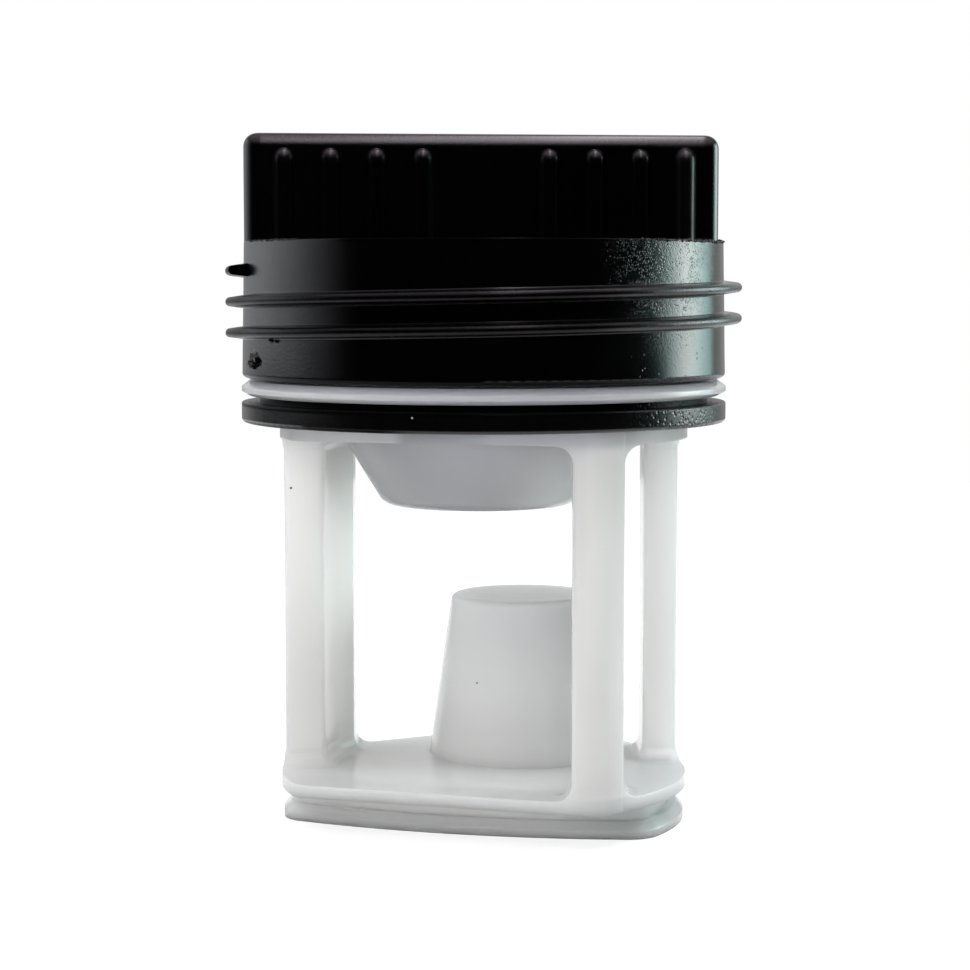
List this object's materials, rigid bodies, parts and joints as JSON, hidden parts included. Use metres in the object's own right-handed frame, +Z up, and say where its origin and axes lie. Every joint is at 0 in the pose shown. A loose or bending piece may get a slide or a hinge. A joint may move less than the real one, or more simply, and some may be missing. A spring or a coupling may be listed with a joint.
{
  "type": "washer pump filter",
  "caption": "Screw-in lint filter for a washing machine drain pump: threaded cap with a ribbed bar grip, sealing ring and an open cage with posts, bowl and plug.",
  "frame": {"origin": "on the screw axis at the underside of the foot plate, which stands on the floor", "axes": "+Z up along the screw axis towards the grip; -Y towards the viewer of the picture; +X to the viewer's right"},
  "size_m": [0.0622, 0.0622, 0.0825],
  "materials": {
    "white_plastic": "glossy natural white, slightly translucent",
    "black_rubber": "satin",
    "black_plastic": "fine moulded grain, semi-gloss"
  },
  "bodies": {
    "cage": {"filter_cage": "white_plastic", "sealing_ring": "black_rubber"},
    "cap": {"screw_cap": "black_plastic"}
  },
  "joints": [
    {"name": "cap_turn", "type": "hinge", "parent": "cage", "child": "cap", "pos_m": [0, 0, 0.0535], "axis": [0, 0, 1], "continuous": true}
  ]
}
